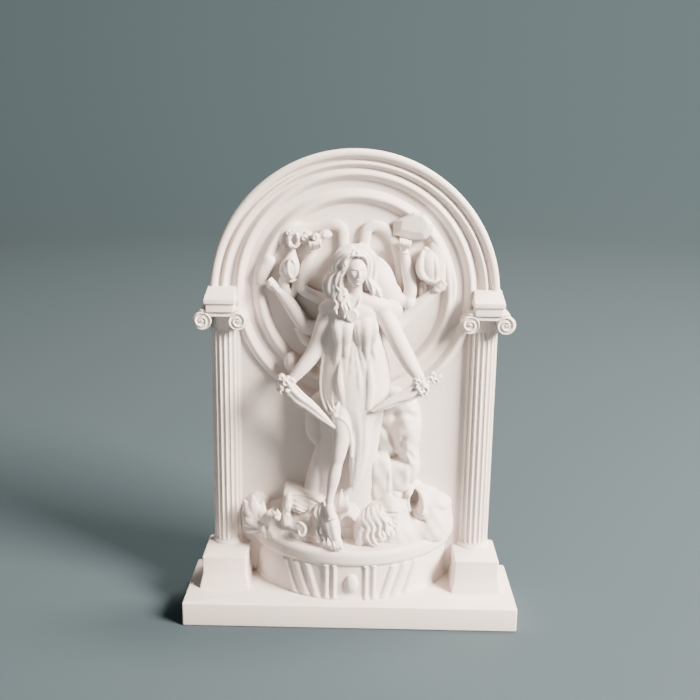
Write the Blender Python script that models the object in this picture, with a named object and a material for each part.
"""Six-armed goddess in an arched niche, one plaster casting with its plinth.

Metres, +Z up. The niche faces -Y, and the origin is under the middle of the slab it stands on.
The casting is one closed solid: plain mouldings are lofted and revolved, the figure and the leaves
round it are modelled as overlapping limbs and folds that a remesh melts into one skin.
"""
import math

import bmesh
import bpy
from mathutils import Matrix, Vector

for old_object in list(bpy.data.objects):
    bpy.data.objects.remove(old_object)

# Slab and the flat back that everything above it is trimmed to
slab_width = 0.157
slab_depth = 0.0456
slab_height = 0.0117
slab_chamfer = 0.0007
back_plane = 0.018
panel_thickness = 0.0055
bite = 0.0010

# Pedestals under the columns
column_span = 0.1212
pedestal_width = 0.0211
pedestal_front = -0.0070
pedestal_height = 0.0163
splay_height = 0.0068
splay_reach = 0.0016
edge_softening = 0.0005

# Fluted columns
column_axis_y = 0.0142
shaft_radius = 0.0074
shaft_height = 0.1090
foot_flare = 0.0011
flute_count = 20
flute_depth = 0.0008
flute_end = 0.0022

# Ionic capitals and the impost blocks on them
volute_radius = 0.0042
volute_spacing = 0.0166
volute_rise = 0.0048
volute_front = 0.0015
volute_relief = 0.0007
capital_shift = 0.0012
abacus_height = 0.0036
abacus_width = 0.0190
recess_height = 0.0026
recess_width = 0.0128
fascia_height = 0.0026
impost_width = 0.0145
impost_front = -0.0005
impost_slope = 0.0042

# Arch moulding and the two rings of the halo behind the figure
arch_overhang = 0.0070
arch_width = 0.0102
arch_relief = 0.0040
halo_rise = 0.0024
halo_gap = 0.0031
halo_step = 0.0101
halo_roll = 0.0026
head_ring_radius = 0.0325
head_ring_roll = 0.0024

# Drum the goddess stands on
drum_radius = 0.0520
drum_front = -0.0167
drum_height = 0.0248
rim_height = 0.0078
rim_reach = 0.0015
rib_relief = 0.0011

# Figure, from the drum to the crown of the head
figure_height = 0.1405
skin_grain = 0.00085
skin_faces = 4400

share = figure_height / 100
field_y = back_plane - panel_thickness
overrun = back_plane + bite
drum_top = slab_height + drum_height
pedestal_top = slab_height + pedestal_height
shaft_top = pedestal_top + shaft_height
volute_z = shaft_top + volute_rise
abacus_bottom = volute_z + volute_radius * 0.43
abacus_top = abacus_bottom + abacus_height
impost_bottom = abacus_top + recess_height
springing = impost_bottom + fascia_height
arch_radius = column_span / 2 + arch_overhang
halo_z = springing + halo_rise
outer_ring = arch_radius - arch_width - halo_gap
inner_ring = outer_ring - halo_step


def closed_mesh(name, points, faces):
    """Mesh whose faces all point outwards."""
    mesh = bpy.data.meshes.new(name)
    mesh.from_pydata(points, [], faces)
    shape = bmesh.new()
    shape.from_mesh(mesh)
    bmesh.ops.recalc_face_normals(shape, faces=shape.faces)
    shape.to_mesh(mesh)
    shape.free()
    return mesh


def lofted(name, rings):
    """Closed body through rings of equally many points, with both ends filled."""
    count = len(rings[0])
    points = [point for ring in rings for point in ring]
    faces = []
    for level in range(len(rings) - 1):
        low = level * count
        for i in range(count):
            j = (i + 1) % count
            faces.append((low + i, low + j, low + count + j, low + count + i))
    faces.append(tuple(range(count)))
    faces.append(tuple(range(len(points) - count, len(points))))
    return closed_mesh(name, points, faces)


def rectangle(x_middle, half_width, y_front, y_back, z):
    """Four corners of a level rectangle."""
    return [
        Vector((x_middle - half_width, y_front, z)),
        Vector((x_middle + half_width, y_front, z)),
        Vector((x_middle + half_width, y_back, z)),
        Vector((x_middle - half_width, y_back, z)),
    ]


plaster = bpy.data.materials.new("plaster")
plaster.use_nodes = True
plaster_shader = plaster.node_tree.nodes["Principled BSDF"]
plaster_shader.inputs["Base Color"].default_value = (0.86, 0.83, 0.81, 1)
plaster_shader.inputs["Roughness"].default_value = 0.72
plaster_shader.inputs["Metallic"].default_value = 0.0

upper_pieces = bpy.data.collections.new("upper_pieces")
bpy.context.scene.collection.children.link(upper_pieces)


def add_piece(name, mesh, collection=upper_pieces):
    """Object that only lends its shape to the casting."""
    piece = bpy.data.objects.new(name, mesh)
    piece.hide_render = True
    piece.display_type = "WIRE"
    collection.objects.link(piece)
    return piece


# Backboard: a straight panel with a round head, the field behind the figure
def backboard_outline(y):
    """Outline of the field at depth y, from the left foot round the head to the right foot."""
    half = column_span / 2
    head = arch_radius - arch_width / 2
    steps = 28
    outline = [Vector((-half, y, slab_height - bite))]
    for i in range(steps + 1):
        turn = math.pi * (1 - i / steps)
        outline.append(Vector((head * math.cos(turn), y, springing + head * math.sin(turn))))
    outline.append(Vector((half, y, slab_height - bite)))
    return outline


backboard = bpy.data.objects.new(
    "backboard", lofted("backboard", [backboard_outline(field_y), backboard_outline(overrun)]))
backboard.hide_render = True
backboard.display_type = "WIRE"
bpy.context.scene.collection.objects.link(backboard)


# Arch: an outer roll, a groove, a fillet and a hollow, carried round the head of the niche
def arch_profile():
    """Radius and depth of each point of the moulding, from its outer back edge inwards."""
    face = field_y - arch_relief
    roll = arch_width * 0.19
    centre = arch_radius - roll
    profile = [(arch_radius, overrun), (arch_radius, face + roll)]
    for i in range(1, 6):
        turn = math.pi * i / 6
        profile.append((centre + roll * math.cos(turn), face + roll * (1 - math.sin(turn))))
    profile.append((centre - roll, face + arch_relief * 0.55))
    profile.append((arch_radius - arch_width * 0.50, face + arch_relief * 0.62))
    profile.append((arch_radius - arch_width * 0.56, face + arch_relief * 0.24))
    profile.append((arch_radius - arch_width * 0.68, face + arch_relief * 0.24))
    profile.append((arch_radius - arch_width * 0.78, face + arch_relief * 0.62))
    profile.append((arch_radius - arch_width * 0.98, face + arch_relief * 0.94))
    profile.append((arch_radius - arch_width, overrun))
    return profile


def carried_round(name, profile, middle_z, first, last, steps):
    """Profile of radius and depth, carried round the axis of the niche between two angles."""
    rings = []
    for i in range(steps + 1):
        turn = first + (last - first) * i / steps
        rings.append([
            Vector((radius * math.cos(turn), y, middle_z + radius * math.sin(turn)))
            for radius, y in profile
        ])
    return lofted(name, rings)


stilt = bite / arch_radius
add_piece("arch", carried_round("arch", arch_profile(), springing, -stilt, math.pi + stilt, 32))


# Halo: two full rolls, the upper halves of which complete the arch moulding
def roll_ring(name, radius, roll, middle_z, steps):
    """Half-buried torus that faces forwards."""
    sides = 6
    section = [(radius + roll * math.cos(math.pi * k / (sides - 1)),
                field_y + roll * 0.1 - roll * math.sin(math.pi * k / (sides - 1)))
               for k in range(sides)]
    section += [(radius - roll, field_y + roll), (radius + roll, field_y + roll)]
    points = []
    faces = []
    for i in range(steps):
        turn = 2 * math.pi * i / steps
        for distance, y in section:
            points.append(Vector((distance * math.cos(turn), y, middle_z + distance * math.sin(turn))))
    count = len(section)
    for i in range(steps):
        near = i * count
        far = ((i + 1) % steps) * count
        for k in range(count):
            m = (k + 1) % count
            faces.append((near + k, near + m, far + m, far + k))
    return closed_mesh(name, points, faces)


add_piece("outer_halo", roll_ring("outer_halo", outer_ring, halo_roll, halo_z, 36))
add_piece("inner_halo", roll_ring("inner_halo", inner_ring, halo_roll, halo_z, 32))


# Pedestals, columns and capitals, the same on both sides
def pedestal(side):
    """Block on a splayed foot."""
    x = side * column_span / 2
    half = pedestal_width / 2
    block_foot = slab_height + splay_height
    levels = [
        (slab_height - bite, half + splay_reach, pedestal_front - splay_reach),
        (slab_height + splay_height * 0.12, half + splay_reach, pedestal_front - splay_reach),
        (block_foot, half, pedestal_front),
        (pedestal_top - edge_softening, half, pedestal_front),
        (pedestal_top, half - edge_softening, pedestal_front + edge_softening),
    ]
    return lofted("pedestal", [rectangle(x, w, front, overrun, z) for z, w, front in levels])


def fluted_ring(x, z, radius, depth):
    """Circle hollowed by flutes, three points to a flute with the arris between them."""
    count = flute_count * 3
    ring = []
    for i in range(count):
        turn = 2 * math.pi * i / count
        reach = radius if i % 3 == 0 else radius - depth
        ring.append(Vector((x + reach * math.cos(turn), column_axis_y + reach * math.sin(turn), z)))
    return ring


def shaft(side):
    """Flared foot, fluted shaft and plain neck."""
    x = side * column_span / 2
    foot = shaft_radius + foot_flare
    start = pedestal_top + flute_end
    levels = [
        (pedestal_top - bite, foot, 0),
        (pedestal_top + foot_flare * 0.6, foot, 0),
        (start, shaft_radius, 0),
        (start + flute_end * 0.6, shaft_radius, flute_depth),
        (shaft_top - flute_end * 0.6, shaft_radius, flute_depth),
        (shaft_top, shaft_radius, 0),
        (volute_z - volute_radius * 0.3, shaft_radius, 0),
        (abacus_bottom + bite, shaft_radius + foot_flare, 0),
    ]
    return lofted("shaft", [fluted_ring(x, z, radius, depth) for z, radius, depth in levels])


def volute(x, curl):
    """Scroll from front to back, its face dished inside a raised band and pierced by an eye."""
    sides = 14
    profile = [
        (overrun, 1.0),
        (volute_front, 1.0),
        (volute_front - volute_relief, 0.90),
        (volute_front - volute_relief, 0.74),
        (volute_front, 0.62),
        (volute_front, 0.36),
        (volute_front - volute_relief, 0.24),
    ]
    rings = []
    for y, reach in profile:
        rings.append([
            Vector((x + curl * volute_radius * reach * math.cos(2 * math.pi * i / sides), y,
                    volute_z + volute_radius * reach * math.sin(2 * math.pi * i / sides)))
            for i in range(sides)
        ])
    return lofted("volute", rings)


def abacus(x):
    """Band across the tops of the scrolls, with softened edges."""
    half = abacus_width / 2
    soft = edge_softening
    levels = [
        (abacus_bottom, half - soft, volute_front + soft),
        (abacus_bottom + soft * 2, half, volute_front),
        (abacus_top - soft, half, volute_front),
        (abacus_top, half - soft, volute_front + soft),
    ]
    return lofted("abacus", [rectangle(x, w, front, overrun, z) for z, w, front in levels])


def impost(x):
    """Recess, fascia and sloping shoulder that carry the foot of the arch."""
    half = impost_width / 2
    shoulder = half - edge_softening * 1.2
    shoulder_front = field_y - arch_relief - edge_softening
    levels = [
        (abacus_top - bite, recess_width / 2, volute_front + edge_softening),
        (impost_bottom - edge_softening, recess_width / 2, volute_front + edge_softening),
        (impost_bottom, half - edge_softening, impost_front + edge_softening),
        (impost_bottom + edge_softening, half, impost_front),
        (springing - edge_softening, half, impost_front),
        (springing, half - edge_softening, impost_front + edge_softening),
        (springing + impost_slope, shoulder, shoulder_front),
    ]
    return lofted("impost", [rectangle(x, w, front, overrun, z) for z, w, front in levels])


for side in (-1, 1):
    capital_x = side * (column_span / 2 + capital_shift)
    add_piece("pedestal", pedestal(side))
    add_piece("shaft", shaft(side))
    add_piece("abacus", abacus(capital_x))
    add_piece("impost", impost(capital_x))
    for curl in (-1, 1):
        add_piece("volute", volute(capital_x + curl * volute_spacing / 2, curl))


# Drum: a shallow segment of a circle with a rounded rim and raised ribs on its face
drum_middle_y = drum_front + drum_radius


def drum_ring(reach, z):
    """Front arc of the drum, closed by a chord inside the backboard."""
    radius = drum_radius + reach
    chord = field_y + bite
    half_turn = math.acos((drum_middle_y - chord) / radius)
    steps = 22
    ring = []
    for i in range(steps + 1):
        turn = -math.pi / 2 - half_turn + 2 * half_turn * i / steps
        ring.append(Vector((radius * math.cos(turn), drum_middle_y + radius * math.sin(turn), z)))
    return ring


rim_foot = drum_top - rim_height
drum_levels = [
    (slab_height - bite, rim_reach * 0.5),
    (slab_height + rim_reach * 0.8, rim_reach * 0.5),
    (slab_height + rim_reach * 1.6, 0),
    (rim_foot - rim_reach, 0),
    (rim_foot, rim_reach * 0.8),
    (rim_foot + rim_reach, rim_reach),
    (drum_top - rim_reach, rim_reach),
    (drum_top - rim_reach * 0.3, rim_reach * 0.7),
    (drum_top, 0),
]
add_piece("drum", lofted("drum", [drum_ring(reach, z) for z, reach in drum_levels]))


def drum_rib(turn_low, turn_high, width):
    """Raised rib up the face of the drum, leaning from one angle to another."""
    rings = []
    low = slab_height + rim_reach
    high = rim_foot + bite / 2
    for i in range(4):
        part = i / 3
        turn = turn_low + (turn_high - turn_low) * part
        z = low + (high - low) * part
        across = width / drum_radius / 2
        ring = []
        for lean, reach in ((-1, -rib_relief), (-0.5, rib_relief), (0.5, rib_relief), (1, -rib_relief)):
            angle = turn + lean * across
            radius = drum_radius + reach
            ring.append(Vector((radius * math.sin(angle), drum_middle_y - radius * math.cos(angle), z)))
        rings.append(ring)
    return lofted("drum_rib", rings)


rib_width = drum_radius * 0.035
for turn_low, turn_high in ((0.13, 0.13), (0.21, 0.21), (0.32, 0.46), (0.42, 0.60), (0.54, 0.72)):
    for side in (-1, 1):
        add_piece("drum_rib", drum_rib(side * turn_low, side * turn_high, rib_width))

boss = bmesh.new()
boss_size = Matrix.Diagonal((rib_width * 1.5, rib_relief * 2, (rim_foot - slab_height) * 0.3, 1))
boss_place = Matrix.Translation((0, drum_front + rib_relief * 0.35, (rim_foot + slab_height) / 2))
bmesh.ops.create_icosphere(boss, subdivisions=2, radius=1, matrix=boss_place @ boss_size)
boss_mesh = bpy.data.meshes.new("drum_boss")
boss.to_mesh(boss_mesh)
boss.free()
add_piece("drum_boss", boss_mesh)


# Figure, in hundredths of its height from the point it stands on
def body(x, y, z):
    """Point of the figure."""
    return Vector((x * share, y * share, drum_top + z * share))


def relief(x, out, z):
    """Point that stands out from the field of the niche."""
    return Vector((x * share, field_y - out * share, drum_top + z * share))


forms = bmesh.new()


def join_form(mesh):
    """Add a closed mesh to the forms that the remesh melts together."""
    forms.from_mesh(mesh)
    bpy.data.meshes.remove(mesh)


def ball(middle, size, lean=0.0):
    """Ellipsoid with half sizes in hundredths, leaning in the plane of the field."""
    place = Matrix.Translation(middle) @ Matrix.Rotation(lean, 4, "Y")
    scale = Matrix.Diagonal((size[0] * share, size[1] * share, size[2] * share, 1))
    bmesh.ops.create_icosphere(forms, subdivisions=3, radius=1, matrix=place @ scale)


def smooth_route(points, values, parts=4):
    """Points and widths read from a smooth curve through the given ones."""
    route = []
    last = len(points) - 1
    for i in range(last):
        before, after = points[max(i - 1, 0)], points[min(i + 2, last)]
        low, high = points[i], points[i + 1]
        for k in range(parts):
            t = k / parts
            a = low * 2
            b = high - before
            c = before * 2 - low * 5 + high * 4 - after
            d = low * 3 - before - high * 3 + after
            point = (a + b * t + c * t * t + d * t * t * t) / 2
            route.append((point, values[i] + (values[i + 1] - values[i]) * t))
    route.append((points[last], values[last]))
    return route


def limb(points, widths, flat=1.0, sides=12, tufts=0, tuft_depth=0.0):
    """Tapering tube with round ends; flat squeezes it front to back, tufts groove it lengthwise."""
    route = smooth_route(points, widths)
    rings = []
    last = len(route) - 1
    for i, (point, width) in enumerate(route):
        ahead = (route[min(i + 1, last)][0] - route[max(i - 1, 0)][0]).normalized()
        across = ahead.cross(Vector((0, 1, 0)))
        if across.length < 0.2:
            across = Vector((1, 0, 0))
        across.normalize()
        front = across.cross(ahead).normalized()
        ring = []
        for k in range(sides):
            turn = 2 * math.pi * k / sides
            reach = width * share * (1 + tuft_depth * math.cos(tufts * turn))
            ring.append(point + across * reach * math.cos(turn) + front * reach * flat * math.sin(turn))
        if i == 0:
            cap = point - ahead * width * share * 0.6
            rings.append([cap + (corner - point) * 0.5 for corner in ring])
        rings.append(ring)
        if i == last:
            cap = point + ahead * width * share * 0.6
            rings.append([cap + (corner - point) * 0.5 for corner in ring])
    join_form(lofted("limb", rings))


def draped(levels, folds, depth, sides=36):
    """Loft through level ellipses whose front is gathered into upright folds.

    Each level gives height, middle x, half width, middle y and half depth, all in hundredths.
    """
    rings = []
    for z, x, half_width, y, half_depth in levels:
        ring = []
        for k in range(sides):
            turn = 2 * math.pi * k / sides
            fold = 1 + depth * math.cos(folds * turn) * max(0.0, -math.sin(turn))
            across = x + half_width * fold * math.cos(turn)
            ring.append(body(across, y + half_depth * fold * math.sin(turn), z))
        rings.append(ring)
    join_form(lofted("draped", rings))


# Head, hair and neck
ball(body(0.5, -2.4, 93.2), (2.7, 3.6, 5.2))
ball(body(0.3, -1.0, 95.4), (3.9, 3.8, 4.3))
ball(body(0.7, -5.9, 92.4), (0.4, 0.7, 1.2))
limb([body(0.6, -1.4, 90), body(0.5, -0.8, 84)], [2.0, 2.3])
limb([body(-1.2, -2.0, 98.4), body(-4.0, -1.6, 95.8), body(-5.6, -0.8, 91.6), body(-6.0, -0.2, 87.4),
      body(-5.6, -1.4, 83.8), body(-4.8, -3.6, 80.4)],
     [1.8, 2.4, 2.9, 3.0, 2.3, 0.9], tufts=5, tuft_depth=0.10)
limb([body(-3.4, -1.6, 91), body(-4.0, -2.4, 86), body(-3.0, -4.0, 81), body(-2.8, -4.4, 77.6)],
     [1.6, 1.6, 1.2, 0.6])
limb([body(1.8, -2.0, 98.4), body(4.0, -1.2, 95.6), body(5.0, -0.4, 91.4), body(5.8, 0, 86.6),
      body(7, 0.4, 82)], [1.7, 2.2, 2.6, 2.8, 2.4], tufts=5, tuft_depth=0.10)

# Veil that falls from the hair to the right shoulder
ball(body(8.8, 3.2, 87.4), (5.0, 4.2, 8.2), -0.5)

# Shoulders, bust and pendant
limb([body(-9.0, 0.6, 79.4), body(-4, -0.4, 82.2), body(3.6, -0.4, 82.4), body(9.4, 0.6, 79.8)],
     [2.4, 3.0, 3.0, 2.4])
bodice = [(84, 0.4, 3.0, 0.0, 3.0), (80.5, 0, 8.6, 0.2, 3.8), (75, -0.2, 8.0, 0.0, 4.8),
          (70, 0.2, 7.4, 0.2, 4.6)]
skirt = [(66, 1.0, 8.8, 0.4, 4.6), (60, 1.0, 10.3, 0.4, 5.2), (53, 1.0, 11.0, 0.2, 5.6),
         (47, 1.2, 10.0, 0.0, 5.6)]
hem = [(42, 2.0, 7.0, -0.4, 5.2), (36, 3.2, 4.6, -0.8, 4.8), (28, 3.2, 3.8, -1.2, 4.2),
       (19.5, 1.8, 2.4, -2.0, 3.4)]
draped(bodice + skirt + hem, 16, 0.07)
for x in (-4.1, 4.2):
    ball(body(x, -3.6, 73.6), (3.3, 2.6, 3.6))
ball(body(-0.7, -5.2, 78.4), (1.7, 0.9, 2.2))
for x in (-2.4, 0.9):
    limb([body(x, -4.2, 83), body(-0.7, -5.2, 79)], [0.35, 0.35])

# Long pleats of the dress and the knot at the hip
for top, foot in ((-4.6, -6.8), (-1.4, -2.8), (1.4, 1.8), (4.2, 6.0), (6.6, 9.4)):
    limb([body(top, -4.2, 70), body((top + foot) / 2, -5.2, 60), body(foot, -5.6, 51),
          body(foot * 0.8, -5.0, 44)], [0.5, 0.9, 1.0, 0.7])
for top, foot in ((2.2, 1.0), (4.4, 2.6), (6.2, 5.0)):
    limb([body(top, -5.0, 44), body((top + foot) / 2, -5.6, 34), body(foot, -5.4, 23)], [0.9, 0.9, 0.6])
ball(body(-5.8, -5.0, 46), (1.7, 1.4, 1.5))
for x in (-8.2, -6.6, -5):
    limb([body(x, -4.4, 52), body(-5.8, -5.2, 46.4)], [0.6, 0.8])

# Bare left leg, and the right foot under the hem
limb([body(-3.8, -1.6, 47), body(-4.2, -4.2, 39), body(-4.1, -4.8, 33.2), body(-5.4, -5.4, 27),
      body(-6.2, -6.2, 20), body(-6.1, -7.0, 13), body(-5.4, -7.6, 5)], [3.6, 3.1, 2.4, 2.0, 2.1, 1.5, 1.6])
limb([body(-5.3, -7.2, 4), body(-4.9, -9.6, 1.6), body(-4.7, -11.2, 0.6)], [1.8, 1.6, 1.0])
limb([body(3.0, -2.6, 24), body(4.0, -4.6, 15), body(4.1, -6.0, 7)], [2.2, 1.6, 1.6])
limb([body(4.1, -6, 7), body(4.0, -8.4, 5)], [1.6, 1.2])

# Cloak behind the figure, falling to the ground on the left
limb([relief(0, 2, 84), relief(1, 3, 66), relief(1, 4, 48), relief(0, 4, 28), relief(-2, 4, 6)],
     [8, 9, 10, 10, 12], flat=0.42)
limb([relief(-11.5, 1.5, 47), relief(-12.6, 2, 39), relief(-10, 2.5, 30), relief(-12, 3, 20),
      relief(-15, 4, 8)], [3.4, 2.8, 2.6, 4.4, 5.0], flat=0.9)

# Arms, each from the shoulder through the elbow to the hand
limb([body(-7, 1.6, 80), relief(-11.5, 3.0, 80.2), relief(-16.6, 2.6, 84.4), relief(-15.4, 2.4, 91),
      relief(-13.4, 2.4, 98)], [2.9, 2.7, 2.4, 2.0, 1.5])
limb([body(-8.6, 1.6, 74), relief(-15.4, 3.2, 73.4), relief(-19.6, 3.0, 78), relief(-24.3, 2.8, 84.6)],
     [2.8, 2.7, 2.3, 1.5])
limb([body(7, 1.6, 80.5), relief(12, 3.0, 80), relief(17.8, 2.8, 81), relief(19.0, 2.6, 87),
      relief(17.8, 2.5, 94.6), relief(15.9, 2.4, 100.4)], [2.9, 2.7, 2.5, 2.3, 2.0, 1.4])
limb([body(8.6, 1.6, 74), relief(16, 3.4, 73.6), relief(22.6, 3.0, 80.4), relief(27.6, 2.8, 86)],
     [2.8, 2.8, 2.4, 1.5])
limb([body(-8.4, 0.4, 79), body(-10.6, -0.2, 72.4), body(-12.2, -0.4, 65.6), body(-16.4, -1.6, 60),
      body(-20.6, -2.4, 55.8)], [2.6, 2.6, 2.6, 2.4, 1.7])
limb([body(9.4, 0.2, 79.4), body(12.6, 0, 74), body(15.5, -0.4, 68.6), body(19.0, -1.6, 61.6),
      body(21.6, -2.6, 57.4)], [2.6, 2.7, 2.6, 2.3, 1.6])
for x, out, z in ((-12.7, 2.6, 100.6), (-27.2, 3.0, 86.4), (15.5, 2.8, 102), (28.4, 3.0, 87.2)):
    ball(relief(x, out, z), (1.7, 1.8, 1.8))
ball(relief(18.2, 3.4, 79.6), (2.6, 2.4, 2.6))

# Garland, bulb and stub roll on the left; block and shell on the right
for step in range(8):
    turn = 2 * math.pi * step / 8
    ball(relief(-20 + 2.1 * math.cos(turn), 2.6, 101.4 + 2.9 * math.sin(turn)), (1.05, 1.3, 1.05))
for x, z in ((-17.0, 101.9), (-15.0, 101.8), (-9.8, 103.2)):
    ball(relief(x, 2.6, z), (1.5, 1.6, 1.5))
limb([relief(-17.6, 0.8, 104), relief(-12, 0.8, 105.6), relief(-7, 0.8, 106.2)], [2.6, 2.8, 2.6], flat=0.6)
limb([relief(-24.6, 2.6, 90.4), relief(-22.2, 2.6, 93.6), relief(-20.4, 2.6, 97.4)], [2.6, 3.6, 1.8])
limb([relief(-21.7, 1.2, 89), relief(-21.7, 1.2, 80.6)], [1.5, 1.3])
limb([relief(-30, 1.4, 97), relief(-28.6, 1.4, 91), relief(-27, 1.4, 87)], [2.2, 2.6, 1.6])
limb([relief(28.0, 2.6, 88), relief(25.4, 2.6, 90.6), relief(22.8, 2.6, 93), relief(21.4, 2.6, 97),
      relief(20.6, 2.6, 100)], [1.5, 2.6, 2.8, 2.0, 0.9])
limb([relief(29.6, 1.2, 99), relief(30.6, 1.2, 93), relief(29.6, 1.2, 86)], [1.8, 2.6, 1.6])


def cut_block(middle, size, lean):
    """Block with a chamfered outline, seen from the front as a long octagon."""
    outline = ((-1.0, -0.3), (-0.75, -0.8), (0.1, -1.0), (0.85, -0.7),
               (1.0, 0.2), (0.7, 0.85), (-0.1, 1.0), (-0.9, 0.5))
    rings = []
    for out, reach in ((-2.5, 1.0), (1.8, 1.0), (3.2, 0.62)):
        ring = []
        for x, z in outline:
            turned = Matrix.Rotation(lean, 2) @ Vector((x * size[0] * reach, z * size[1] * reach))
            ring.append(middle + Vector((turned.x * share, -out * share, turned.y * share)))
        rings.append(ring)
    join_form(lofted("cut_block", rings))


cut_block(relief(18.9, 1.6, 106.4), (6.4, 4.3), 0.16)

# Ring of cloud round the head, open above it
ring_radius = head_ring_radius / share
ring_z = (halo_z - drum_top) / share
for side in (-1, 1):
    route = [relief(side * 4.2, 0.7, ring_z + ring_radius * 0.62),
             relief(side * 4.4, 0.7, ring_z + ring_radius * 0.93)]
    for step in range(1, 7):
        turn = math.radians(72 - 16 * step)
        route.append(relief(side * ring_radius * math.cos(turn), 0.7, ring_z + ring_radius * math.sin(turn)))
    limb(route, [head_ring_roll / share] * len(route), flat=0.8)

# Horns of plenty in the lower hands, with flowers at their mouths
for side, hand, middle, tip in (
        (-1, body(-21.6, -2.8, 54.8), body(-14.7, -4.2, 49.6), body(-5.6, -6.0, 41.4)),
        (1, body(21.0, -3.2, 55.6), body(13.9, -4.6, 50.4), body(5.3, -6.2, 46.4))):
    limb([hand, middle, tip], [2.6, 2.1, 0.7], tufts=5, tuft_depth=0.14)
    for step in range(7):
        turn = 2 * math.pi * step / 7
        out = side * (1.4 + 1.9 * math.cos(turn))
        spread = Vector((out, 0.9 * math.sin(turn * 2), 0.4 + 2.4 * math.sin(turn)))
        ball(hand + spread * share, (1.25, 1.4, 1.25))
ball(body(24.8, -3.2, 57.2), (1.9, 1.7, 1.5))
ball(relief(-20.1, 1.6, 60.6), (3.4, 3.0, 3.2))

# Seated beast against the field at the right of her legs
ball(relief(17.4, 2.6, 38.5), (5.0, 4.6, 9.8))
ball(relief(13.8, 4.4, 43.6), (4.0, 3.6, 4.2))
limb([relief(20.6, 4.4, 38), relief(20.4, 6.2, 31), relief(15.6, 7.4, 28.4), relief(11, 6.8, 31)],
     [2.6, 2.4, 2.0, 1.8])
limb([relief(10.2, 6.8, 29.4), relief(10.0, 7.8, 23), relief(9.6, 8.0, 16)], [3.4, 3.2, 3.0], flat=0.9)
limb([relief(19.0, 3.0, 30), relief(19.6, 4.2, 22), relief(20, 5.0, 12)], [3.6, 3.8, 4.4])

# Ground over the drum, with two crouching beasts and leaves
ball(relief(0, 8, 3), (17, 7, 4.6))
for side in (-1, 1):
    ball(body(side * 26, 3.6, 5), (10, 5.2, 5.0))
    for step in range(4):
        turn = math.radians(28 + 36 * step)
        stem = body(side * 31, 2.6, 6)
        tip = body(side * (31 + 5.2 * math.cos(turn)), 1.4, 6 + 6.4 * math.sin(turn))
        limb([stem, (stem + tip) / 2 + Vector((0, -0.8 * share, 0)), tip], [1.2, 1.9, 0.8], flat=0.8)
ball(body(-16.4, -0.2, 12.4), (6.0, 4.8, 4.4))
ball(body(-12.4, -2.8, 9.4), (3.4, 3.0, 3.6))
for step in range(3):
    drop = step * 1.5
    limb([body(-20.4, -3.8, 13.2 - drop), body(-17.4, -5.2, 11.2 - drop),
          body(-14.0, -5.4, 10.6 - drop * 1.3)], [1.0, 1.1, 0.9])
ball(body(-24.8, -0.8, 9.2), (3.2, 2.8, 3.6))
for x in (-12.2, -10.2, -8.2):
    limb([body(x - 1.4, -5.6, 8.4), body(x, -9.0, 4.8), body(x + 0.8, -10.4, 1.4)], [1.3, 1.2, 0.9])
limb([body(-17.6, -6, 8), body(-15.4, -7.2, 6.6), body(-16.4, -7.4, 4), body(-18, -6.8, 4)],
     [1.1, 1.1, 1.0, 0.9])
ball(body(9.4, -7.2, 7.8), (3.6, 3.0, 3.8))
ball(body(8.8, -9.8, 5.8), (1.8, 1.6, 1.6))
for step in range(7):
    turn = math.radians(170 + 40 * step)
    limb([body(9.6 + 3.0 * math.cos(turn), -8.2, 7.6 + 3.0 * math.sin(turn)),
          body(9.8 + 4.8 * math.cos(turn), -6.8, 7.2 + 4.8 * math.sin(turn))], [1.1, 0.8])
ball(body(15.4, -2.2, 12.2), (5.8, 5.2, 4.8))
ball(body(22.4, -0.4, 9), (5.0, 4.4, 5.2))
ball(body(29.0, 2.0, 11.0), (6.4, 4.2, 5.2))
limb([body(4.4, -5, 0.6), body(4.2, -8.2, 4.4)], [2.6, 2.0])
limb([body(12, -7.0, 1), body(20, -4.6, 1.6), body(28, -1.0, 1.8)], [2.2, 2.4, 2.2])

figure_mesh = bpy.data.meshes.new("figure_forms")
bmesh.ops.recalc_face_normals(forms, faces=forms.faces)
forms.to_mesh(figure_mesh)
forms.free()
figure = add_piece("figure_forms", figure_mesh)
melt = figure.modifiers.new("melt", "REMESH")
melt.mode = "VOXEL"
melt.voxel_size = skin_grain
smooth = figure.modifiers.new("smooth", "SMOOTH")
smooth.factor = 0.5
smooth.iterations = 2
melted = figure.evaluated_get(bpy.context.evaluated_depsgraph_get()).to_mesh()
melted.calc_loop_triangles()
thin = figure.modifiers.new("thin", "DECIMATE")
thin.ratio = skin_faces / len(melted.loop_triangles)

# One casting: the upper pieces are joined, trimmed to the flat back, and joined to the slab
union = backboard.modifiers.new("upper_pieces", "BOOLEAN")
union.operation = "UNION"
union.operand_type = "COLLECTION"
union.collection = upper_pieces

trim_height = springing + arch_radius + slab_height
trimmer = add_piece(
    "back_trimmer",
    lofted("back_trimmer", [
        rectangle(0, slab_width, back_plane, back_plane + slab_depth, -slab_height),
        rectangle(0, slab_width, back_plane, back_plane + slab_depth, trim_height),
    ]),
    bpy.context.scene.collection)
trim = backboard.modifiers.new("flat_back", "BOOLEAN")
trim.operation = "DIFFERENCE"
trim.object = trimmer


def slab_mesh():
    """Slab with a narrow chamfer round its top and foot."""
    half = slab_width / 2
    near, far = -slab_depth / 2, slab_depth / 2
    levels = [(0, slab_chamfer), (slab_chamfer, 0),
              (slab_height - slab_chamfer, 0), (slab_height, slab_chamfer)]
    return lofted("slab", [rectangle(0, half - inset, near + inset, far - inset, z) for z, inset in levels])


casting = bpy.data.objects.new("goddess_niche", slab_mesh())
casting.data.materials.append(plaster)
bpy.context.scene.collection.objects.link(casting)
join = casting.modifiers.new("upper_casting", "BOOLEAN")
join.operation = "UNION"
join.object = backboard
